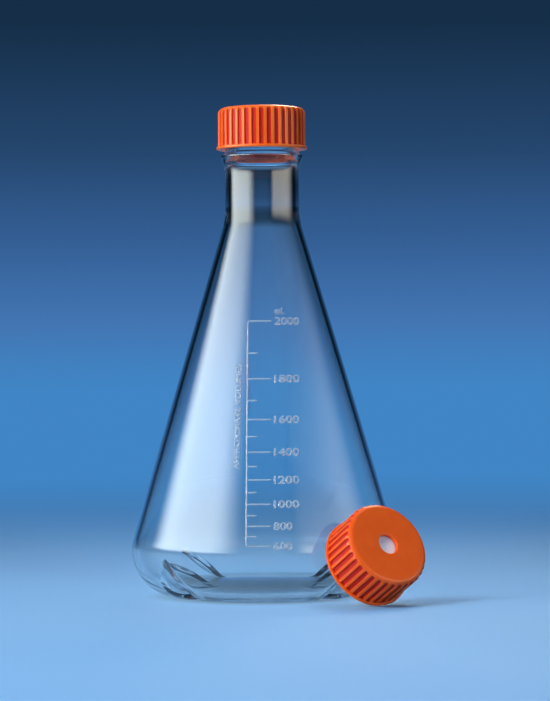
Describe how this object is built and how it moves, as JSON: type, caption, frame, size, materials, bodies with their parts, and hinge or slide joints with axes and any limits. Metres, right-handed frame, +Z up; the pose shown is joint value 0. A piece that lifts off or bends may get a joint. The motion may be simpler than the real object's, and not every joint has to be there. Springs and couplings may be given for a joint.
{
  "type": "baffled erlenmeyer shake flask",
  "caption": "Conical glass shake flask with a baffled heel, screw neck with fluted solid cap, and a loose vented cap with a white membrane leaning against it.",
  "frame": {"origin": "centre of the flask's underside, on the table", "axes": "+Z up along the flask's axis; the volume scale faces -Y; the loose vented cap leans on the flask towards +X and -Y"},
  "size_m": [0.1788, 0.1894, 0.3045],
  "materials": {
    "borosilicate_glass": "clear fire-polished moulded glass",
    "orange_polypropylene": "satin moulded polypropylene",
    "red_silicone": "matt silicone sheet",
    "orange_polypropylene_vented": "satin moulded polypropylene",
    "white_membrane": "matt expanded fluoropolymer film",
    "red_silicone_vented": "matt silicone sheet"
  },
  "bodies": {
    "flask": {"flask_body": "borosilicate_glass"},
    "cap_seal": {"solid_cap_seal": "red_silicone"},
    "cap": {"solid_cap": "orange_polypropylene"},
    "vented_closure": {"vented_cap": "orange_polypropylene_vented", "vent_membrane": "white_membrane", "vented_cap_seal": "red_silicone_vented"}
  },
  "joints": [
    {"name": "cap_rise", "type": "slide", "parent": "flask", "child": "cap_seal", "axis": [0, 0, 1], "range_m": [0, 0.0101]},
    {"name": "cap_turn", "type": "hinge", "parent": "cap_seal", "child": "cap", "pos_m": [0, 0, 0.2784], "axis": [0, 0, 1], "range_deg": [0, 900]},
    {"name": "vented_cap_lift", "type": "slide", "parent": "flask", "child": "vented_closure", "axis": [0, 0, 1], "range_m": [0, 0.15]}
  ],
  "couplings": [
    {"joint": "cap_rise", "follows": "cap_turn", "m_per_rad": 0.00063662}
  ]
}
